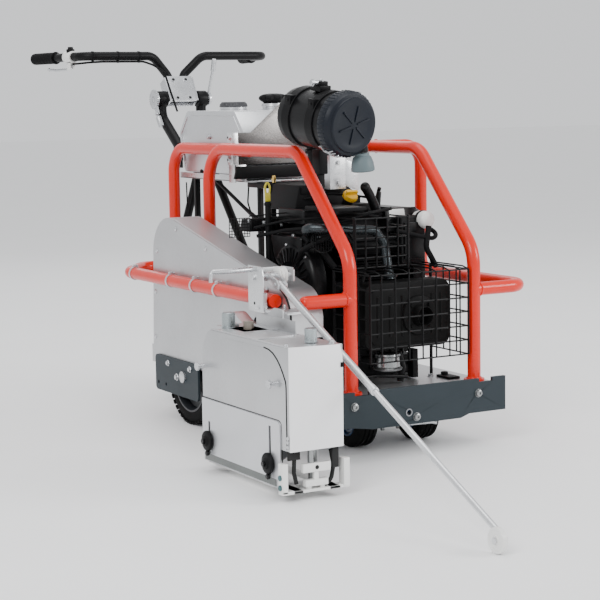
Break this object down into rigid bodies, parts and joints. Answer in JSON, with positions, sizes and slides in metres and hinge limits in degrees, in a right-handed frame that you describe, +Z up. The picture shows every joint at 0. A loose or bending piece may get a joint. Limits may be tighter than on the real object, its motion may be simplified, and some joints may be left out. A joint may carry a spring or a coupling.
{
  "type": "walk-behind concrete saw",
  "caption": "Walk-behind concrete saw: engine and water tank in a tube frame on four wheels, with a side-mounted blade unit, folding guide arm and tilting handlebar.",
  "frame": {"origin": "On the floor under the middle of the whole machine's bounding box, with the guide arm down", "axes": "+Z up, +Y towards the operator's end (the handlebar), +X to the side away from the blade unit"},
  "size_m": [0.8902, 2.377, 0.991],
  "materials": {
    "black_paint": "satin paint",
    "black_plastic": "fine grain",
    "blue_hub": "gloss",
    "engine_black": "cast, painted",
    "gloss_black": "gloss",
    "grey_plastic": "fine grain",
    "grey_steel": "machined",
    "hub_grey": "satin",
    "orange": "gloss powder coat",
    "plate_silver": "brushed",
    "rubber": "matt",
    "slate": "satin paint",
    "tank_silver": "satin",
    "tyre": "matt",
    "white_paint": "gloss",
    "white_steel": "zinc plated",
    "yellow_plastic": "gloss"
  },
  "bodies": {
    "chassis": {"deck_plate": "plate_silver", "bumper_plate": "slate", "frame_bolts": "white_steel", "left_hoop": "orange", "right_hoop": "orange", "left_rail": "orange", "right_rail": "orange", "cross_tubes": "orange", "rail_clamps": "white_steel", "side_brackets": "slate", "axles": "grey_steel", "engine_block": "engine_black", "cylinders": "engine_black", "blower_housing": "black_paint", "muffler": "black_paint", "wire_guards": "black_paint", "exhaust_pipe": "grey_steel", "oil_filter": "white_paint", "air_cleaner": "gloss_black", "air_cleaner_cover": "black_plastic", "air_duct": "rubber", "water_tank": "tank_silver", "tank_tray": "plate_silver", "drive_guard": "plate_silver", "drive_belt": "rubber", "guide_bracket": "white_steel", "handle_support": "black_paint"},
    "front_wheel_l": {"front_wheel_left": "blue_hub"},
    "front_wheel_r": {"front_wheel_right": "blue_hub"},
    "rear_wheel_l": {"rear_hub_left": "hub_grey", "rear_tyre_left": "tyre"},
    "rear_wheel_r": {"rear_hub_right": "hub_grey", "rear_tyre_right": "tyre"},
    "tank_lid": {"tank_cap": "grey_plastic"},
    "fuel_lid": {"fuel_cap": "black_plastic"},
    "oil_lid": {"oil_cap": "yellow_plastic"},
    "dipstick": {"dipstick": "yellow_plastic"},
    "choke": {"choke_lever": "black_paint"},
    "engine_pulley": {"engine_pulley": "grey_steel"},
    "jack_pulley": {"jack_pulley": "grey_steel"},
    "guide": {"guide_arm": "white_steel"},
    "guide_wheel": {"guide_wheel": "white_steel"},
    "cord_pulley": {"cord_pulley": "white_paint"},
    "lock": {"lock_pin": "white_steel"},
    "handle": {"handlebar": "black_paint", "handle_grips": "rubber", "clamp_block": "white_steel", "lever_bracket": "white_paint", "control_cable": "rubber"},
    "tilt_lever": {"tilt_lever": "white_steel"},
    "control_lever": {"control_lever": "white_steel"},
    "stop_switch": {"stop_switch": "black_plastic"},
    "blade_unit": {"blade_housing": "plate_silver", "swing_arm": "plate_silver"},
    "side_cover": {"side_cover": "white_steel"},
    "front_knob": {"front_knob": "black_plastic"},
    "rear_knob": {"rear_knob": "black_plastic"},
    "blade": {"blade": "grey_steel", "blade_arbor": "grey_steel"},
    "skid": {"skid_frame": "white_paint"}
  },
  "joints": [
    {"name": "front_wheel_l_spin", "type": "hinge", "parent": "chassis", "child": "front_wheel_l", "pos_m": [-0.00612, -0.19454, 0.065], "axis": [1, 0, 0], "continuous": true},
    {"name": "front_wheel_r_spin", "type": "hinge", "parent": "chassis", "child": "front_wheel_r", "pos_m": [0.16988, -0.19454, 0.065], "axis": [1, 0, 0], "continuous": true},
    {"name": "rear_wheel_l_spin", "type": "hinge", "parent": "chassis", "child": "rear_wheel_l", "pos_m": [-0.19012, 0.28246, 0.125], "axis": [1, 0, 0], "continuous": true},
    {"name": "rear_wheel_r_spin", "type": "hinge", "parent": "chassis", "child": "rear_wheel_r", "pos_m": [0.35388, 0.28246, 0.125], "axis": [1, 0, 0], "continuous": true},
    {"name": "tank_lid_turn", "type": "hinge", "parent": "chassis", "child": "tank_lid", "pos_m": [0.05788, 0.53246, 0.812], "axis": [0, 0, 1], "range_deg": [0, 90]},
    {"name": "fuel_lid_turn", "type": "hinge", "parent": "chassis", "child": "fuel_lid", "pos_m": [0.18188, 0.53246, 0.812], "axis": [0, 0, 1], "range_deg": [0, 90]},
    {"name": "oil_lid_turn", "type": "hinge", "parent": "chassis", "child": "oil_lid", "pos_m": [0.05588, -0.07754, 0.59], "axis": [0, -0.6428, 0.766], "range_deg": [0, 90]},
    {"name": "dipstick_slide", "type": "slide", "parent": "chassis", "child": "dipstick", "axis": [0, 0, 1], "range_m": [0, 0.12]},
    {"name": "choke_turn", "type": "hinge", "parent": "chassis", "child": "choke", "pos_m": [0.19188, 0.01246, 0.575], "axis": [1, 0, 0], "range_deg": [-45, 10]},
    {"name": "engine_pulley_spin", "type": "hinge", "parent": "chassis", "child": "engine_pulley", "pos_m": [-0.09812, 0.01246, 0.33], "axis": [1, 0, 0], "continuous": true},
    {"name": "jack_pulley_spin", "type": "hinge", "parent": "chassis", "child": "jack_pulley", "pos_m": [-0.18512, -0.11754, 0.3], "axis": [1, 0, 0], "continuous": true},
    {"name": "guide_fold", "type": "hinge", "parent": "chassis", "child": "guide", "pos_m": [-0.23812, -0.20554, 0.428], "axis": [-1, 0, 0], "range_deg": [0, 100]},
    {"name": "guide_wheel_spin", "type": "hinge", "parent": "guide", "child": "guide_wheel", "pos_m": [-0.29312, -1.16354, 0.025], "axis": [1, 0, 0], "continuous": true},
    {"name": "cord_pulley_spin", "type": "hinge", "parent": "chassis", "child": "cord_pulley", "pos_m": [-0.21112, -0.20554, 0.428], "axis": [1, 0, 0], "continuous": true},
    {"name": "lock_slide", "type": "slide", "parent": "chassis", "child": "lock", "axis": [-1, 0, 0], "range_m": [0, 0.02]},
    {"name": "handle_tilt", "type": "hinge", "parent": "chassis", "child": "handle", "pos_m": [0.08188, 0.91246, 0.836], "axis": [1, 0, 0], "range_deg": [-25, 15]},
    {"name": "tilt_lever_turn", "type": "hinge", "parent": "handle", "child": "tilt_lever", "pos_m": [0.16988, 0.91246, 0.836], "axis": [1, 0, 0], "range_deg": [0, 25]},
    {"name": "control_lever_squeeze", "type": "hinge", "parent": "handle", "child": "control_lever", "pos_m": [-0.22412, 1.00346, 0.934], "axis": [1, 0, 0], "range_deg": [0, 7], "stiffness_Nm_per_rad": 2, "springref_deg": -11.46},
    {"name": "stop_switch_press", "type": "slide", "parent": "handle", "child": "stop_switch", "axis": [0, 0, -1], "range_m": [0, 0.003], "stiffness_N_per_m": 600, "springref_m": -0.002},
    {"name": "blade_unit_swing", "type": "hinge", "parent": "chassis", "child": "blade_unit", "pos_m": [0.08188, -0.11754, 0.3], "axis": [1, 0, 0], "range_deg": [-12, 1.5]},
    {"name": "side_cover_slide", "type": "slide", "parent": "blade_unit", "child": "side_cover", "axis": [0, 0, 1], "range_m": [0, 0.018]},
    {"name": "front_knob_turn", "type": "hinge", "parent": "blade_unit", "child": "front_knob", "pos_m": [-0.43312, -0.53854, 0.072], "axis": [1, 0, 0], "range_deg": [-170, 170]},
    {"name": "rear_knob_turn", "type": "hinge", "parent": "blade_unit", "child": "rear_knob", "pos_m": [-0.43312, -0.25354, 0.072], "axis": [1, 0, 0], "range_deg": [-170, 170]},
    {"name": "blade_spin", "type": "hinge", "parent": "blade_unit", "child": "blade", "pos_m": [-0.35912, -0.41954, 0.174], "axis": [1, 0, 0], "continuous": true},
    {"name": "skid_slide", "type": "slide", "parent": "blade_unit", "child": "skid", "axis": [0, 0, 1], "range_m": [0, 0.06], "stiffness_N_per_m": 1500, "springref_m": -0.02}
  ],
  "couplings": [
    {"joint": "jack_pulley_spin", "follows": "engine_pulley_spin", "ratio": 1.3182},
    {"joint": "blade_spin", "follows": "engine_pulley_spin", "ratio": 1.3182}
  ]
}
